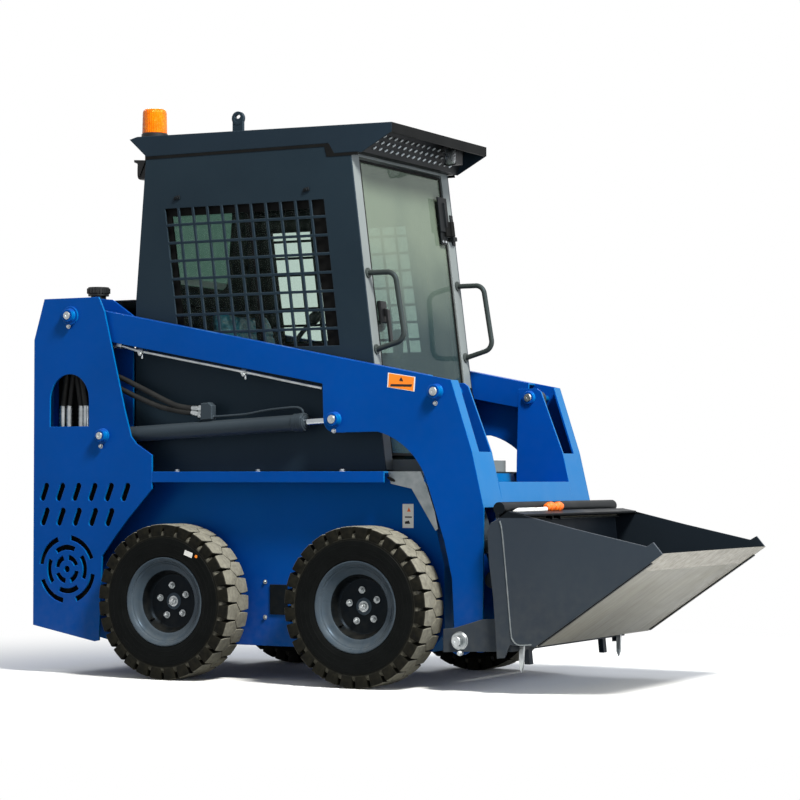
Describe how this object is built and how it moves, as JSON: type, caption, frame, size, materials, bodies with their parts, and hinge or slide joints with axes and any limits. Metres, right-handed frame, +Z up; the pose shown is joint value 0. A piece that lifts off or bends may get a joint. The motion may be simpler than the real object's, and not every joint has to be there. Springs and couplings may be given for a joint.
{
  "type": "skid steer loader",
  "caption": "Compact wheeled skid steer loader: glazed cab with grille sides, radial lift arms with hydraulic cylinders, bucket on a quick coupler, rear engine bay.",
  "frame": {"origin": "on the ground, under the middle of the overall box", "axes": "+X towards the bucket, +Y to the operator's left, +Z up"},
  "size_m": [2.641, 1.11, 2.1902],
  "materials": {
    "blue_paint": "gloss polyester powder coat",
    "cab_paint": "satin powder coat",
    "post_paint": "satin powder coat",
    "bucket_paint": "satin powder coat",
    "black_paint": "satin paint",
    "rim_paint": "gloss paint",
    "galvanised": "pale paint on bent sheet",
    "zinc_steel": "zinc plated",
    "wear_steel": "painted wear steel",
    "cast_iron": "rough cast",
    "chrome": "hard chrome",
    "tyre": "moulded rubber, dusty",
    "black_plastic": "moulded plastic",
    "amber": "tinted translucent dome",
    "seat_vinyl": "vinyl under a clear cover",
    "cab_glass": "tinted safety glass"
  },
  "bodies": {
    "root": {"chassis_tub": "blue_paint", "sills": "blue_paint", "front_gussets": "galvanised", "tower_outer_plates": "blue_paint", "tower_inner_plates": "blue_paint", "engine_hood": "black_paint", "engine_block": "cast_iron", "engine_door_hinges": "zinc_steel", "fuel_cap": "black_plastic", "wheel_bearings": "black_paint", "cab_sides": "cab_paint", "cab_rear": "cab_paint", "cab_floor": "cab_paint", "cab_front_frame": "post_paint", "cab_roof": "cab_paint", "visor_grille": "cab_paint", "beacon_base": "black_plastic", "beacon_dome": "amber", "lifting_eyes": "black_paint", "work_lamps": "black_plastic", "grab_handles": "cab_paint", "seat_base": "black_paint", "seat": "seat_vinyl", "control_levers": "black_plastic", "door_hinges": "black_paint", "rear_glass": "cab_glass"},
    "loader_arm": {"arm_beams": "blue_paint", "arm_drop_boxes": "blue_paint", "arm_crossmember": "blue_paint"},
    "lift_cylinder_barrels": {"lift_barrels": "cab_paint"},
    "lift_cylinder_rods": {"lift_rods": "chrome"},
    "tilt_cylinder_barrels": {"tilt_barrels": "cab_paint"},
    "tilt_cylinder_rods": {"tilt_rods": "chrome"},
    "bucket_assembly": {"coupler": "bucket_paint", "bucket": "bucket_paint", "cutting_edge": "wear_steel"},
    "cab_door_assembly": {"cab_door": "post_paint", "door_glass": "cab_glass"},
    "engine_door_assembly": {"engine_door": "blue_paint"},
    "wheel_front_right": {"tyre_front_right": "tyre", "rim_front_right": "rim_paint"},
    "wheel_front_left": {"tyre_front_left": "tyre", "rim_front_left": "rim_paint"},
    "wheel_rear_right": {"tyre_rear_right": "tyre", "rim_rear_right": "rim_paint"},
    "wheel_rear_left": {"tyre_rear_left": "tyre", "rim_rear_left": "rim_paint"}
  },
  "joints": [
    {"name": "wheel_front_right_spin", "type": "hinge", "parent": "root", "child": "wheel_front_right", "pos_m": [0.1445, 0, 0.292], "axis": [0, 1, 0], "continuous": true},
    {"name": "wheel_front_left_spin", "type": "hinge", "parent": "root", "child": "wheel_front_left", "pos_m": [0.1445, 0, 0.292], "axis": [0, 1, 0], "continuous": true},
    {"name": "wheel_rear_right_spin", "type": "hinge", "parent": "root", "child": "wheel_rear_right", "pos_m": [-0.6755, 0, 0.292], "axis": [0, 1, 0], "continuous": true},
    {"name": "wheel_rear_left_spin", "type": "hinge", "parent": "root", "child": "wheel_rear_left", "pos_m": [-0.6755, 0, 0.292], "axis": [0, 1, 0], "continuous": true},
    {"name": "arm_lift", "type": "hinge", "parent": "root", "child": "loader_arm", "pos_m": [-1.1475, 0, 1.384], "axis": [0, -1, 0], "range_deg": [0, 64]},
    {"name": "lift_cylinder_swing", "type": "hinge", "parent": "root", "child": "lift_cylinder_barrels", "pos_m": [-0.9935, 0, 0.918], "axis": [0, -1, 0], "range_deg": [0, 59.37]},
    {"name": "lift_cylinder_stroke", "type": "slide", "parent": "lift_cylinder_barrels", "child": "lift_cylinder_rods", "axis": [0.9987, 0, 0.0513], "range_m": [0, 0.5097]},
    {"name": "bucket_tilt", "type": "hinge", "parent": "loader_arm", "child": "bucket_assembly", "pos_m": [0.5325, 0, 0.181], "axis": [0, 1, 0], "range_deg": [0, 118]},
    {"name": "tilt_cylinder_swing", "type": "hinge", "parent": "loader_arm", "child": "tilt_cylinder_barrels", "pos_m": [0.4365, 0, 1.065], "axis": [0, 1, 0], "range_deg": [0, 5.02]},
    {"name": "tilt_cylinder_stroke", "type": "slide", "parent": "tilt_cylinder_barrels", "child": "tilt_cylinder_rods", "axis": [0.2834, 0, -0.959], "range_m": [0, 0.4057]},
    {"name": "cab_door_hinge", "type": "hinge", "parent": "root", "child": "cab_door_assembly", "pos_m": [0.16977, 0.342, 1.07977], "axis": [-0.1253, 0, 0.9921], "range_deg": [0, 70]},
    {"name": "engine_door_hinge", "type": "hinge", "parent": "root", "child": "engine_door_assembly", "pos_m": [-1.3115, 0.359, 0.313], "axis": [0, 0, -1], "range_deg": [0, 110]}
  ],
  "couplings": [
    {"joint": "lift_cylinder_swing", "follows": "arm_lift", "ratio": 0.91207},
    {"joint": "lift_cylinder_stroke", "follows": "arm_lift", "m_per_rad": 0.4527},
    {"joint": "tilt_cylinder_swing", "follows": "bucket_tilt", "ratio": 0.034086},
    {"joint": "tilt_cylinder_stroke", "follows": "bucket_tilt", "m_per_rad": 0.19506}
  ]
}
